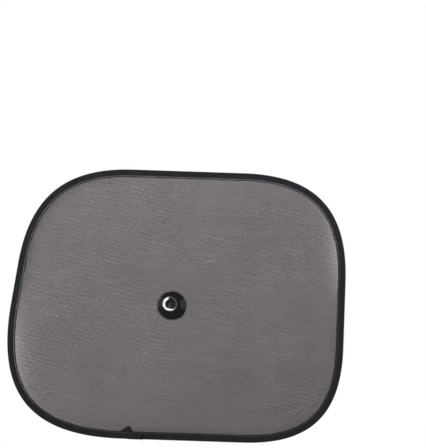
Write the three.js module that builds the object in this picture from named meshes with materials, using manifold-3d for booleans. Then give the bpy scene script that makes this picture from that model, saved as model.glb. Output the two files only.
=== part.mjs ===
// Pop-up side window sunshade: a net panel in a folded tape binding with a spring wire hoop in the
// fold, and one suction cup that passes through an eyelet in the net.
// Millimetres. X runs along the long side, Z is up, -Y points at the window glass.
// The origin is the centre of the cup's lip, in the plane that seals on the glass.
import * as THREE from "three";
import { mergeVertices } from "three/addons/utils/BufferGeometryUtils.js";
import Module from "manifold-3d";

const wasm = await Module();
wasm.setup();
const { Manifold, CrossSection } = wasm;

// Outline of the binding. Each edge is straight, at its distance from the cup's centre.
const RIGHT_EDGE = 226;
const TOP_EDGE = 176.3;
const LEFT_EDGE = 210.2;
const BOTTOM_EDGE = 176.2;
// The left edge leans in towards the top.
const LEFT_LEAN_DEG = 8.1;
// How far each corner's curve reaches back along its edges from their crossing.
const TOP_RIGHT_REACH = 138;
const TOP_LEFT_REACH = 128.5;
const BOTTOM_LEFT_REACH = 175;
const BOTTOM_RIGHT_REACH = 128;
// How squarely a corner fills towards the crossing: 0 cuts it off straight, 1 is nearly square.
const CORNER_FULLNESS = 0.69;
const CORNER_STEPS = 18;

// Net panel, with a raised thread grid: weft on the front, warp on the back.
const NET_THICKNESS = 0.4;
const THREAD_PITCH = 5.5;
const THREAD_WIDTH = 0.9;
const THREAD_HEIGHT = 0.3;
// One cell in so many is open, each way.
const GAP_EVERY = 6;
const GAP_MARGIN = 0.2;

// Binding tape, folded over the hoop and sewn to the net's edge.
const TAPE_THICKNESS = 0.4;
const BINDING_WIDTH = 10;
const FOLD_EASE = 0.15;
const NET_EDGE_SETBACK = 0.2;
// Where the tape leaves the fold, and how far it then takes to close onto the net.
const FOLD_LEAVE_DEG = 71;
const FOLD_TAPER = 1.6;
const FOLD_STEPS = 7;

// The tape's end laps over its start, on the bottom edge, measured from the lower left corner.
const LAP_END = 27.5;
const LAP_LENGTH = 14;
// The tape's tucked corner, which peeks out over the net beside the lap.
const TUCK_AT = -2.5;
const TUCK_BASE = 17;
const TUCK_TOP = 4;
const TUCK_TOP_SHIFT = 10.4;
const TUCK_HEIGHT = 7.2;
const TUCK_FALL = 1.3;
const TUCK_ROOT = 3;

// Spring wire hoop, with its ends butted in a crimped ferrule.
const WIRE_DIAMETER = 1.5;
const WIRE_SIDES = 8;
const WIRE_END_GAP = 0.4;
const FERRULE_LENGTH = 18;
const FERRULE_WALL = 0.35;
const FERRULE_EASE = 0.05;
const CRIMP_DEPTH = 0.12;
const CRIMP_WIDTH = 1.6;

// Suction cup. Depths are behind the lip's sealing plane.
const LIP_RADIUS = 19.5;
const LIP_LAND = 0.7;
const LIP_THICKNESS = 0.7;
const LIP_ROUND = 0.3;
const FEATHER_WIDTH = 1.5;
const FEATHER_DEPTH = 0.5;
// The bowl is a shallow parabola, with the small deep crown at its centre.
const BOWL_DEPTH = 3.3;
const CROWN_RADIUS = 3.8;
const CROWN_DEPTH = 5.2;
const SKIRT_RADIUS = 11.2;
const SKIRT_THICKNESS = 1.9;
const HUB_RADIUS = 7.6;
const HUB_DEPTH = 8.2;
const HUB_ROUND = 0.9;
const HUB_FLARE = 0.6;
const HUB_FLARE_DEPTH = 1.2;
const NECK_RADIUS = 3;
const HEAD_RADIUS = 5.2;
const HEAD_HEIGHT = 3.4;
const HEAD_EDGE = 0.85;
const HEAD_CHAMFER = 0.3;
const CUP_SIDES = 48;
const BOWL_STEPS = 7;

// Eyelet that guards the net's hole: a barrel with a front flange, closed over a back washer.
const NECK_EASE = 0.3;
const BARREL_WALL = 0.9;
const BARREL_EASE = 0.3;
const FLANGE_RADIUS = 8;
const FLANGE_THICKNESS = 0.8;
const WASHER_RADIUS = 7.4;
const WASHER_THICKNESS = 0.8;
const ROLL_RADIUS = 5.9;
const ROLL_THICKNESS = 0.7;
const EYELET_CHAMFER = 0.25;
const SEAT_GAP = 0.3;
const EYELET_SIDES = 36;

const netSlot = new THREE.MeshStandardMaterial({ name: "net", color: 0x1c1b1d, roughness: 0.9, metalness: 0 });
const tapeSlot = new THREE.MeshStandardMaterial({ name: "tape", color: 0x1d1e22, roughness: 0.85, metalness: 0 });
const wireSlot = new THREE.MeshStandardMaterial({ name: "wire", color: 0x8b8d90, roughness: 0.35, metalness: 1 });
const ferruleSlot = new THREE.MeshStandardMaterial({ name: "ferrule", color: 0xa7a8a8, roughness: 0.4, metalness: 1 });
const cupSlot = new THREE.MeshStandardMaterial({ name: "cup", color: 0x141416, roughness: 0.15, metalness: 0 });
const eyeletSlot = new THREE.MeshStandardMaterial({ name: "eyelet", color: 0x18181a, roughness: 0.5, metalness: 0 });

// Depths behind the lip's plane, from the cup's hub back through the eyelet and the net.
const flangeFront = HUB_DEPTH + SEAT_GAP;
const netFront = flangeFront + FLANGE_THICKNESS;
const netMiddle = netFront + NET_THICKNESS / 2;
const netBack = netFront + NET_THICKNESS;
const washerBack = netBack + WASHER_THICKNESS;
const rollBack = washerBack + ROLL_THICKNESS;
const headFront = rollBack + SEAT_GAP;

const boreRadius = NECK_RADIUS + NECK_EASE;
const barrelRadius = boreRadius + BARREL_WALL;
const wireRadius = WIRE_DIAMETER / 2;
const ferruleBore = wireRadius + FERRULE_EASE;
const ferruleRadius = ferruleBore + FERRULE_WALL;
const foldRadius = ferruleRadius + FOLD_EASE;
const beadRadius = foldRadius + TAPE_THICKNESS;
const foldMouth = beadRadius + Math.sqrt(foldRadius ** 2 - (NET_THICKNESS / 2) ** 2);

// The crossing of two lines, each a point and a direction.
function crossing(p, d, q, e) {
  const s = ((q.x - p.x) * e.y - (q.y - p.y) * e.x) / (d.x * e.y - d.y * e.x);
  return new THREE.Vector2(p.x + d.x * s, p.y + d.y * s);
}

// Stations round the outline, counter-clockwise from the top of the right edge: a point, the
// outward normal and the distance run so far.
function outline() {
  const lean = (LEFT_LEAN_DEG * Math.PI) / 180;
  const edges = [
    { at: new THREE.Vector2(RIGHT_EDGE, 0), along: new THREE.Vector2(0, 1) },
    { at: new THREE.Vector2(0, TOP_EDGE), along: new THREE.Vector2(-1, 0) },
    { at: new THREE.Vector2(-LEFT_EDGE, 0), along: new THREE.Vector2(-Math.sin(lean), -Math.cos(lean)) },
    { at: new THREE.Vector2(0, -BOTTOM_EDGE), along: new THREE.Vector2(1, 0) },
  ];
  const reach = [TOP_RIGHT_REACH, TOP_LEFT_REACH, BOTTOM_LEFT_REACH, BOTTOM_RIGHT_REACH];
  const corners = edges.map((e, i) => {
    const next = edges[(i + 1) % 4];
    return crossing(e.at, e.along, next.at, next.along);
  });
  // Two corners on one edge leave a tenth of it straight.
  const room = edges.map((e, i) => {
    const before = (i + 3) % 4;
    return Math.min(1, (0.9 * corners[i].distanceTo(corners[before])) / (reach[i] + reach[before]));
  });
  const stations = [];
  corners.forEach((corner, i) => {
    const arm = reach[i] * Math.min(room[i], room[(i + 1) % 4]);
    const start = corner.clone().addScaledVector(edges[i].along, -arm);
    const end = corner.clone().addScaledVector(edges[(i + 1) % 4].along, arm);
    const curve = new THREE.CubicBezierCurve(
      start,
      start.clone().lerp(corner, CORNER_FULLNESS),
      end.clone().lerp(corner, CORNER_FULLNESS),
      end,
    );
    for (let k = 0; k <= CORNER_STEPS; k++) {
      const t = curve.getTangent(k / CORNER_STEPS);
      stations.push({ at: curve.getPoint(k / CORNER_STEPS), out: new THREE.Vector2(t.y, -t.x) });
    }
  });
  let run = 0;
  stations.forEach((s, i) => {
    run += i ? s.at.distanceTo(stations[i - 1].at) : 0;
    s.run = run;
  });
  return { stations, length: run + stations[0].at.distanceTo(stations.at(-1).at) };
}

const { stations: round, length: roundLength } = outline();
// The straight stretch of the bottom edge runs between these two stations.
const bottomStart = round[3 * (CORNER_STEPS + 1) - 1].run;
const bottomEnd = round[3 * (CORNER_STEPS + 1)].run;

// The station at a distance along the outline, which may run past its start.
function stationAt(run) {
  const wrapped = run % roundLength;
  const after = round.findIndex((s) => s.run > wrapped);
  const b = after < 0 ? { ...round[0], run: roundLength } : round[after];
  const a = after < 0 ? round.at(-1) : round[after - 1];
  const t = (wrapped - a.run) / (b.run - a.run);
  return { at: a.at.clone().lerp(b.at, t), out: a.out.clone().lerp(b.out, t), run };
}

// The stations from one distance to another, ends included.
function stretch(from, to) {
  const inside = [0, roundLength].flatMap((lap) => round.map((s) => ({ ...s, run: s.run + lap })));
  return [stationAt(from), ...inside.filter((s) => s.run > from + 0.01 && s.run < to - 0.01), stationAt(to)];
}

// A point of the binding's section: so far in from the outline, so far behind the net's middle.
function place(station, inward, back) {
  return [
    station.at.x - station.out.x * inward,
    netMiddle + back,
    station.at.y - station.out.y * inward,
  ];
}

// A closed body from a list of corners and faces, turned to face outwards.
function body(points, faces) {
  const geometry = new THREE.BufferGeometry();
  geometry.setAttribute("position", new THREE.Float32BufferAttribute(points.flat(), 3));
  geometry.setIndex(faces.flat());
  return solid(geometry);
}

function solid(geometry) {
  const merged = mergeVertices(new THREE.BufferGeometry()
    .setAttribute("position", geometry.getAttribute("position").clone())
    .setIndex(geometry.index), 1e-4);
  const vertProperties = new Float32Array(merged.attributes.position.array);
  const triVerts = new Uint32Array(merged.index.array.length);
  for (let i = 0; i < triVerts.length; i++) triVerts[i] = merged.index.array[i];
  const made = new Manifold(new wasm.Mesh({ numProp: 3, vertProperties, triVerts }));
  if (made.volume() > 0) return made;
  for (let i = 0; i < triVerts.length; i += 3) {
    [triVerts[i + 1], triVerts[i + 2]] = [triVerts[i + 2], triVerts[i + 1]];
  }
  return new Manifold(new wasm.Mesh({ numProp: 3, vertProperties, triVerts }));
}

// A section carried along stations, as a ring or as a length with flat ends.
function sweep(section, along, closed) {
  const n = section.length;
  const points = along.flatMap((s) => section.map(([inward, back]) => place(s, inward, back)));
  const faces = [];
  const spans = closed ? along.length : along.length - 1;
  for (let i = 0; i < spans; i++) {
    const a = i * n;
    const b = ((i + 1) % along.length) * n;
    for (let k = 0; k < n; k++) {
      const m = (k + 1) % n;
      faces.push([a + k, b + k, b + m], [a + k, b + m, a + m]);
    }
  }
  if (!closed) {
    const flat = section.map(([inward, back]) => new THREE.Vector2(inward, back));
    const last = (along.length - 1) * n;
    // The cap follows the section's own turn, as triangulateShape does.
    const turn = THREE.ShapeUtils.isClockWise(flat) ? -1 : 1;
    THREE.ShapeUtils.triangulateShape(flat, []).forEach(([p, q, r]) => {
      const area = (flat[q].x - flat[p].x) * (flat[r].y - flat[p].y)
        - (flat[r].x - flat[p].x) * (flat[q].y - flat[p].y);
      const [u, v] = area * turn > 0 ? [q, r] : [r, q];
      faces.push([p, u, v], [last + p, last + v, last + u]);
    });
  }
  return body(points, faces);
}

// Points on an arc about the wire's centre, from the net's side round the outside.
function arc(radius, from, to, steps) {
  return Array.from({ length: steps + 1 }, (_, k) => {
    const a = from + ((to - from) * k) / steps;
    return [beadRadius + radius * Math.cos(a), radius * Math.sin(a)];
  });
}

// The tape's section outside: out along one face from the inner edge, round the fold and back.
function tapeOutside(extra) {
  const face = NET_THICKNESS / 2 + TAPE_THICKNESS + extra;
  const radius = beadRadius + extra;
  const leave = (FOLD_LEAVE_DEG * Math.PI) / 180;
  const closed = beadRadius + radius * Math.cos(leave) + FOLD_TAPER;
  return [
    [BINDING_WIDTH, -face],
    [closed, -face],
    ...arc(radius, -leave, leave - 2 * Math.PI, FOLD_STEPS),
    [closed, face],
    [BINDING_WIDTH, face],
  ];
}

// The tape's section inside: in along the net's back face, round the hoop and out along the front.
function tapeInside(radius, face) {
  const mouth = Math.asin(face / radius);
  return [
    [BINDING_WIDTH, face],
    ...arc(radius, mouth, 2 * Math.PI - mouth, FOLD_STEPS + 1),
    [BINDING_WIDTH, -face],
  ];
}

// The tucked corner's outline, grown by a margin.
function tuckedCorner(margin) {
  const from = stationAt(bottomStart + TUCK_AT);
  const to = stationAt(bottomStart + TUCK_AT + TUCK_BASE);
  const along = to.at.clone().sub(from.at).normalize();
  const at = (run, rise) => from.at.clone()
    .addScaledVector(along, run)
    .addScaledVector(from.out, -(BINDING_WIDTH + rise));
  return [
    at(-margin, -TUCK_ROOT),
    at(TUCK_BASE + margin, -TUCK_ROOT),
    at(TUCK_BASE + margin, margin),
    at(TUCK_TOP_SHIFT + TUCK_TOP + margin, TUCK_HEIGHT - TUCK_FALL + margin),
    at(TUCK_TOP_SHIFT, TUCK_HEIGHT + margin),
    at(-margin, margin),
  ];
}

// Binding: the folded tape, its lapped end and its tucked corner.
function edgeBinding() {
  const tape = [...tapeOutside(0), ...tapeInside(foldRadius, NET_THICKNESS / 2)];
  const ring = sweep(tape, round, true);

  const halfway = TAPE_THICKNESS / 2;
  const lapped = [
    ...tapeOutside(TAPE_THICKNESS),
    ...tapeInside(foldRadius + halfway, NET_THICKNESS / 2 + halfway),
  ];
  const lapEnd = bottomStart + LAP_END;
  const lap = sweep(lapped, stretch(lapEnd - LAP_LENGTH, lapEnd), false);

  return ring.add(lap).add(slab(tuckedCorner(0), netFront - TAPE_THICKNESS, netFront));
}

// A flat slab of an outline in the net's plane, between two depths.
function slab(points, front, back) {
  const flat = new CrossSection([points.map((p) => [p.x, p.y])], "Positive");
  // The extrusion's Z becomes depth, and the outline's Y becomes height.
  return flat.extrude(back - front).rotate([90, 0, 0]).translate([0, back, 0]);
}

// A turned piece: radius and depth pairs, round the cup's axis.
function turned(profile, sides) {
  return solid(new THREE.LatheGeometry(profile.map(([r, y]) => new THREE.Vector2(r, y)), sides));
}

function inset(distance) {
  return round.map((s) => s.at.clone().addScaledVector(s.out, -distance));
}

// Net: a thin panel with raised threads, open cells and the eyelet's hole.
function meshPanel() {
  const sheet = slab(inset(foldMouth + NET_EDGE_SETBACK), netFront, netBack);
  const reachX = Math.max(RIGHT_EDGE, LEFT_EDGE + BOTTOM_EDGE);
  const reachZ = Math.max(TOP_EDGE, BOTTOM_EDGE);
  const sink = NET_THICKNESS / 4;
  const bars = [];
  const bar = (x, z, wide, high, front, back) => {
    bars.push(Manifold.cube([wide, back - front, high], true).translate([x, (front + back) / 2, z]));
  };
  for (let i = Math.ceil(-reachX / THREAD_PITCH); i * THREAD_PITCH < reachX; i++) {
    bar((i + 0.5) * THREAD_PITCH, 0, THREAD_WIDTH, 2 * reachZ, netBack - sink, netBack + THREAD_HEIGHT);
  }
  for (let k = Math.ceil(-reachZ / THREAD_PITCH); k * THREAD_PITCH < reachZ; k++) {
    bar(0, (k + 0.5) * THREAD_PITCH, 2 * reachX, THREAD_WIDTH, netFront - THREAD_HEIGHT, netFront + sink);
  }
  const front = netFront - 2 * THREAD_HEIGHT;
  const back = netBack + 2 * THREAD_HEIGHT;
  const clear = slab(inset(BINDING_WIDTH + SEAT_GAP), front, back)
    .subtract(turned(disc(FLANGE_RADIUS + SEAT_GAP, front, back), EYELET_SIDES))
    .subtract(slab(tuckedCorner(SEAT_GAP), front, netFront));
  const threads = Manifold.union(bars).intersect(clear);

  const open = THREAD_PITCH - THREAD_WIDTH - 2 * GAP_MARGIN;
  const inner = inset(BINDING_WIDTH + THREAD_PITCH / 2 + open / 2);
  const gaps = [];
  const every = GAP_EVERY * THREAD_PITCH;
  const straddle = Math.floor(GAP_EVERY / 2);
  for (let i = Math.ceil(-reachX / every); i * every < reachX; i++) {
    for (let k = Math.ceil(-reachZ / every); k * every < reachZ; k++) {
      // The grid of open cells straddles the cup.
      const x = (i * GAP_EVERY + straddle) * THREAD_PITCH;
      const z = (k * GAP_EVERY + straddle) * THREAD_PITCH;
      if (!within(x, z, inner)) continue;
      gaps.push(Manifold.cube([open, back - front, open], true).translate([x, netMiddle, z]));
    }
  }
  const hole = turned(disc(barrelRadius + BARREL_EASE, front, back), EYELET_SIDES);
  return sheet.add(threads).subtract(Manifold.union(gaps)).subtract(hole);
}

function disc(radius, front, back) {
  return [[0, front], [radius, front], [radius, back], [0, back]];
}

// Whether a point lies inside a closed outline.
function within(x, z, points) {
  let inside = false;
  points.forEach((a, i) => {
    const b = points[(i + 1) % points.length];
    if (a.y > z !== b.y > z && x < a.x + ((z - a.y) / (b.y - a.y)) * (b.x - a.x)) inside = !inside;
  });
  return inside;
}

// Hoop: a round wire in the binding's fold, cut where its ends meet.
const hoopJoin = (bottomStart + bottomEnd) / 2;

function springHoop() {
  const section = Array.from({ length: WIRE_SIDES }, (_, k) => {
    const a = ((k + 0.5) / WIRE_SIDES) * 2 * Math.PI;
    return [beadRadius + wireRadius * Math.cos(a), wireRadius * Math.sin(a)];
  });
  return sweep(
    section,
    stretch(hoopJoin + WIRE_END_GAP / 2, hoopJoin + roundLength - WIRE_END_GAP / 2),
    false,
  );
}

// Ferrule: a tube round the wire's ends, with a crimp groove over each.
function hoopFerrule() {
  const half = FERRULE_LENGTH / 2;
  const crimp = half / 2;
  const groove = (at) => [
    [ferruleRadius, at - CRIMP_WIDTH / 2],
    [ferruleRadius - CRIMP_DEPTH, at - CRIMP_WIDTH / 4],
    [ferruleRadius - CRIMP_DEPTH, at + CRIMP_WIDTH / 4],
    [ferruleRadius, at + CRIMP_WIDTH / 2],
  ];
  const tube = [
    [ferruleBore, -half],
    [ferruleRadius, -half],
    ...groove(-crimp),
    ...groove(crimp),
    [ferruleRadius, half],
    [ferruleBore, half],
    [ferruleBore, -half],
  ];
  const seat = stationAt(hoopJoin);
  const [x, y, z] = place(seat, beadRadius, 0);
  return turned(tube, 20).rotate([0, 0, 90]).translate([x, y, z]);
}

// Suction cup: lip, skirt, hub, neck and mushroom head in one moulding.
function suctionCup() {
  const landRadius = LIP_RADIUS - LIP_ROUND - LIP_LAND;
  const bowlRadius = landRadius - FEATHER_WIDTH;
  const bowlAt = (r) => BOWL_DEPTH - (BOWL_DEPTH - FEATHER_DEPTH) * (r / bowlRadius) ** 2;
  // The crown is a dome with a flat top.
  const crown = [0, 0.35, 0.65, 0.85, 1].map((t) => [
    CROWN_RADIUS * t,
    CROWN_DEPTH - (CROWN_DEPTH - bowlAt(CROWN_RADIUS)) * t ** 3,
  ]);
  const bowl = Array.from({ length: BOWL_STEPS }, (_, k) => {
    const r = CROWN_RADIUS + ((bowlRadius - CROWN_RADIUS) * (k + 1)) / BOWL_STEPS;
    return [r, bowlAt(r)];
  });
  const skirtRoot = bowlAt(SKIRT_RADIUS) + SKIRT_THICKNESS;
  const shoulder = [1, 0.5, 0].map((t) => [
    HUB_RADIUS - HUB_ROUND * (1 - t) ** 2,
    HUB_DEPTH - HUB_ROUND * (1 - (1 - t) ** 2),
  ]);
  const head = [0, 0.3, 0.6, 0.85, 1].map((t) => [
    HEAD_RADIUS * Math.sqrt(1 - t ** 2),
    headFront + HEAD_EDGE + (HEAD_HEIGHT - HEAD_EDGE) * t,
  ]);
  const profile = [
    ...crown,
    ...bowl,
    [landRadius, 0],
    [landRadius + LIP_LAND, 0],
    [LIP_RADIUS, LIP_ROUND],
    [LIP_RADIUS, LIP_THICKNESS],
    [LIP_RADIUS - LIP_LAND, LIP_THICKNESS + LIP_ROUND],
    [SKIRT_RADIUS, skirtRoot],
    [HUB_RADIUS + HUB_FLARE, skirtRoot + HUB_FLARE_DEPTH],
    ...shoulder,
    [NECK_RADIUS, HUB_DEPTH],
    [NECK_RADIUS, headFront],
    [HEAD_RADIUS - HEAD_CHAMFER, headFront],
    ...head,
  ];
  return turned(profile, CUP_SIDES);
}

// Eyelet barrel: front flange, tube through the net and the roll that closes on the washer.
function eyeletBarrel() {
  return turned([
    [boreRadius, flangeFront],
    [FLANGE_RADIUS - EYELET_CHAMFER, flangeFront],
    [FLANGE_RADIUS, flangeFront + EYELET_CHAMFER],
    [FLANGE_RADIUS, netFront],
    [barrelRadius, netFront],
    [barrelRadius, washerBack],
    [ROLL_RADIUS, washerBack],
    [ROLL_RADIUS - EYELET_CHAMFER, rollBack],
    [boreRadius, rollBack],
    [boreRadius, flangeFront],
  ], EYELET_SIDES);
}

function eyeletWasher() {
  return turned([
    [barrelRadius + BARREL_EASE, netBack],
    [WASHER_RADIUS, netBack],
    [WASHER_RADIUS, washerBack - EYELET_CHAMFER],
    [WASHER_RADIUS - EYELET_CHAMFER, washerBack],
    [barrelRadius + BARREL_EASE, washerBack],
    [barrelRadius + BARREL_EASE, netBack],
  ], EYELET_SIDES);
}

function piece(name, made, material) {
  const { vertProperties, triVerts, numProp } = made.getMesh();
  const geometry = new THREE.BufferGeometry();
  const position = new Float32Array((vertProperties.length / numProp) * 3);
  for (let i = 0; i < position.length; i++) {
    position[i] = vertProperties[Math.floor(i / 3) * numProp + (i % 3)];
  }
  geometry.setAttribute("position", new THREE.BufferAttribute(position, 3));
  geometry.setIndex(new THREE.BufferAttribute(new Uint32Array(triVerts), 1));
  geometry.computeVertexNormals();
  const mesh = new THREE.Mesh(geometry, material);
  mesh.name = name;
  return mesh;
}

const sunshade = new THREE.Group();
sunshade.name = "car_side_window_sunshade";
sunshade.add(
  piece("mesh_panel", meshPanel(), netSlot),
  piece("edge_binding", edgeBinding(), tapeSlot),
  piece("spring_hoop", springHoop(), wireSlot),
  piece("hoop_ferrule", hoopFerrule(), ferruleSlot),
  piece("suction_cup", suctionCup(), cupSlot),
  piece("eyelet_barrel", eyeletBarrel(), eyeletSlot),
  piece("eyelet_washer", eyeletWasher(), eyeletSlot),
);

export default sunshade;
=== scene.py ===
"""Pop-up side window sunshade: its looks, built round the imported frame. Metres, in the row frame."""

import math
import random

import bmesh
import bpy
import numpy as np
from mathutils import Matrix, Vector

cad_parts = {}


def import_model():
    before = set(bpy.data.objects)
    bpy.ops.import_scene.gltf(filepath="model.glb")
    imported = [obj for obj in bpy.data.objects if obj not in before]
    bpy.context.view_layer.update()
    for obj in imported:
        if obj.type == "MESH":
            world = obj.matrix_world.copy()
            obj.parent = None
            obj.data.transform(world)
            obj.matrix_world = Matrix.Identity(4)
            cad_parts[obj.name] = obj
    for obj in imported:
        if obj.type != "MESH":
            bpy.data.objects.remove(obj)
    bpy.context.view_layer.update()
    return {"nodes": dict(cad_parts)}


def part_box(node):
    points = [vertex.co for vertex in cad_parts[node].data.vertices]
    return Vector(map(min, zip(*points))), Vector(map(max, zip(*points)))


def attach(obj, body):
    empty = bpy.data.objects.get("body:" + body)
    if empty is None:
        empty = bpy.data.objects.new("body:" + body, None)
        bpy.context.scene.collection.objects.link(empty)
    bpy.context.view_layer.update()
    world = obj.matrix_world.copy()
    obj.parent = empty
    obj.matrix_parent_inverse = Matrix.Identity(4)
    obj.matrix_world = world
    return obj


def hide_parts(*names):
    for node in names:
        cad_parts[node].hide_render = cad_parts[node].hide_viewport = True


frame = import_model()

# Outline of the binding, as the CAD source has it.
RIGHT_EDGE = 0.226
TOP_EDGE = 0.1763
LEFT_EDGE = 0.2102
BOTTOM_EDGE = 0.1762
LEFT_LEAN = math.radians(8.1)
CORNER_REACHES = (0.138, 0.1285, 0.175, 0.128)
CORNER_FULLNESS = 0.69
CURVE_STEPS = 240
STRAIGHT_STEPS = 60

# Angles over which an edge is shaded sharp: on the pieces made here, on the cup and on the CAD nodes.
SHARP = math.radians(40)
CUP_SHARP = math.radians(50)
CAD_SHARP = math.radians(35)

# The net's depth behind the cup's sealing plane, from the frame, and the sizes of the tape.
NET_MIDDLE = sum(p.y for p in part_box("hoop_ferrule")) / 2
TAPE_WIDTH = 0.010
TAPE_THICKNESS = 0.0004
NET_THICKNESS = 0.0004
FOLD_RADIUS = 0.0013
BEAD_RADIUS = FOLD_RADIUS + TAPE_THICKNESS
FOLD_TAPER = 0.0016
FOLD_LEAVE = math.radians(71)
FOLD_STEPS = 12
INNER_STEPS = 7

# The tape's cut edge, which is eased a little and wavers.
CUT_STEP = 0.0002
CUT_EASE = 0.00008
EDGE_WAVER = 0.00012
WAVER_COUNT = 7
WAVER_LENGTHS = (0.012, 0.06)
WAVER_PHASES = (0, 6.28)

# The tape's end laps over its start on the bottom edge.
LAP_END = 0.0275
LAP_LENGTH = 0.014
LAP_RAMP = 0.009
LAP_CLEAR = 0.00003
# The tape's end shows dark: where that starts and where it is full, back from the end.
DARK_END_START = 0.0016
DARK_END_FULL = 0.0012

# The tape's tucked corner, over the net beside the lap.
TUCK_AT = -0.0025
TUCK_BASE = 0.017
TUCK_TOP = 0.004
TUCK_TOP_SHIFT = 0.0104
TUCK_HEIGHT = 0.0072
TUCK_FALL = 0.0013
TUCK_ROOT = 0.003
TUCK_UNDER = 0.00004
TUCK_OFF_NET = 0.00002
TUCK_ROUND = 0.0009
TUCK_ROUND_STEPS = 4

# Lockstitch seam. The thread pulls the tape down into a shallow groove.
STITCH_INSET = 0.0083
STITCH_PITCH = 0.0031
STITCH_LENGTH = 0.0025
STITCH_RADIUS = 0.00021
STITCH_SIDES = 6
STITCH_SINK = 0.00012
GROOVE_HALF = 0.0009
PUCKER = 0.00007
PUCKER_FROM = 0.004
PUCKER_ELSEWHERE = 0.4
STATIONS_PER_STITCH = 3
STITCH_SKEW = 0.00012
SKEW_GAIN = 4
STITCH_LENGTHS = (0.94, 1.05)
# A stitch's arch: place along it, and height in units of STITCH_RISE.
STITCH_ARCH = ((-0.5, -1.0), (-0.4, 0.3), (-0.2, 0.9), (0, 1.0), (0.2, 0.9), (0.4, 0.3), (0.5, -1.0))
STITCH_RISE = STITCH_RADIUS * 1.3

# The short row of stitches across the tape's end, and the thread's cut tail below it.
LAP_ROW_BACK = 0.0009
LAP_ROW_START = 0.0042
LAP_ROW_PITCH = 0.0026
LAP_ROW_COUNT = 2
LAP_STITCH_LENGTH = 0.0021
LAP_STITCH_LEAN = 0.00005
LAP_ARCH = ((0, -1), (0.2, 0.4), (0.5, 0.9), (0.8, 0.4), (1, -1))
TAIL_START = 0.0012
TAIL_LENGTH = 0.0042
TAIL_DEPTH = 0.0011
TAIL_SWEEP = 0.0009
TAIL_FALL = 0.0004
TAIL_RADIUS = STITCH_RADIUS * 0.9
TAIL_POINTS = 9

# Net: a fine ground with a grid of straight threads, weft in front and warp behind.
HOLE_RADIUS = 0.0045
NET_INSET = 0.0032
GROUND_THICKNESS = 0.00012
NET_STATIONS = 420
NET_RINGS = 34
EDGE_RINGS = 12
EDGE_BAND = 0.03
THREAD_PITCH = 0.00113
THREAD_WIDTH = 0.00056
THREAD_RISE = 0.00009
THREAD_SINK = 0.00001
# A thread's section: places across it as shares of its width, and heights off the ground.
THREAD_CREST = 0.32
THREAD_SECTION = ((-0.5, -THREAD_SINK), (-THREAD_CREST, THREAD_RISE), (THREAD_CREST, THREAD_RISE),
                  (0.5, -THREAD_SINK))
THREAD_SPAN = 0.3
THREAD_SAMPLES = 1200
THREAD_LEAST = 8
WEAVE_TURN = math.radians(-1.6)
THREAD_SEGMENTS = 14
YARN_OPEN = 0.84
STRETCH = 0.0016
STRETCH_WAVES = (16.0, 13.0)
STRETCH_PHASES = (1.1, 0.5)
# Slack: its depth, where it starts and how fast it grows off the cup, and its three waves.
NET_SLACK = 0.0006
SLACK_START = 0.3
SLACK_GROWTH = 0.05
SLACK_GAIN = 3
SLACK_WAVES = ((21, 9, 0.6), (-7, 16, 0), (-12, 37, 2))
SLACK_RIPPLE = 0.5
# The share of light that the ground lets through, then its rise with height and its drift to the right, which
# are painted light: they make the net lighter towards the top and the left.
GROUND_OPEN = 0.181
PAINTED_LIGHT_RISE = 0.2
PAINTED_LIGHT_DRIFT = -0.07
OPEN_LIMITS = (0.01, 0.9)
# Edge tones, painted light and shade near the tape: a gain above nought paints a lighter strip in from the
# tape, one below nought paints shade. Bearing and spread in degrees, depth from the tape in metres, and gain.
PAINTED_EDGE_LIGHT_AND_SHADE = ((198, 19, 0.011, 0.95), (19, 12, 0.0085, 1.15), (-75, 62, 0.005, -0.35),
              (150, 35, 0.0045, -0.35), (168, 14, 0.01, -0.2))
# Faint rows, as the photo shows: period, lean off level in degrees, and swing of the open share.
FAINT_ROWS = ((0.0052, 13, 0.06), (0.0064, -50, 0.036), (0.0042, 80, 0.036))
# How far noise bends the rows, in radians, and how much it varies them.
ROW_SWAY = 3.5
ROW_PATCHES = (0.6, 1.3)
# They are stronger low on the net, by this gain, which fades out between two heights.
LOW_ROW_GAIN = 1.35
LOW_ROW_HEIGHTS = (-0.15, 0.04)

# Cup.
CUP_SIDES = 144
CROWN_POINTS = 14
CROWN_END = 0.96
BOWL_POINTS = 34
HEAD_POINTS = 15
LIP_RADIUS = 0.0195
LIP_LAND = 0.0007
LIP_THICKNESS = 0.0007
LIP_ROUND = 0.0003
LAND_EASE = 0.00008
FEATHER_WIDTH = 0.0015
FEATHER_DEPTH = 0.0005
BOWL_DEPTH = 0.0033
CROWN_RADIUS = 0.0038
CROWN_DEPTH = 0.0052
CROWN_ROUND = 0.0005
CROWN_GLOSS = 0.3
CROWN_GLOSS_START = CROWN_RADIUS * 0.9
BOWL_START = CROWN_RADIUS + CROWN_ROUND * 0.4
SKIRT_RADIUS = 0.0112
SKIRT_THICKNESS = 0.0019
HUB_RADIUS = 0.0076
HUB_DEPTH = 0.0082
HUB_ROUND = 0.0009
HUB_FLARE = 0.0006
HUB_FLARE_DEPTH = 0.0012
# The flare's middle point, as shares of its width and depth.
FLARE_MIDDLE = (1.9, 0.45)
NECK_RADIUS = 0.003
NECK_EASE = 0.0002
HEAD_RADIUS = 0.0052
HEAD_FRONT = 0.0115
HEAD_EDGE = 0.00085
HEAD_HEIGHT = 0.0034
HEAD_ROUND = 0.0003

# Camera, fitted to the photograph, which doesn't give its distance.
CAMERA_AT = (0.0500, 0.10855)
CAMERA_DISTANCE = 2.6
CAMERA_ROLL = math.radians(1.91)
PHOTO_ROWS = 448
PHOTO_PIXEL = 0.0013085
FRAME_HEIGHT = PHOTO_ROWS * PHOTO_PIXEL
SENSOR = 36.0

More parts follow.
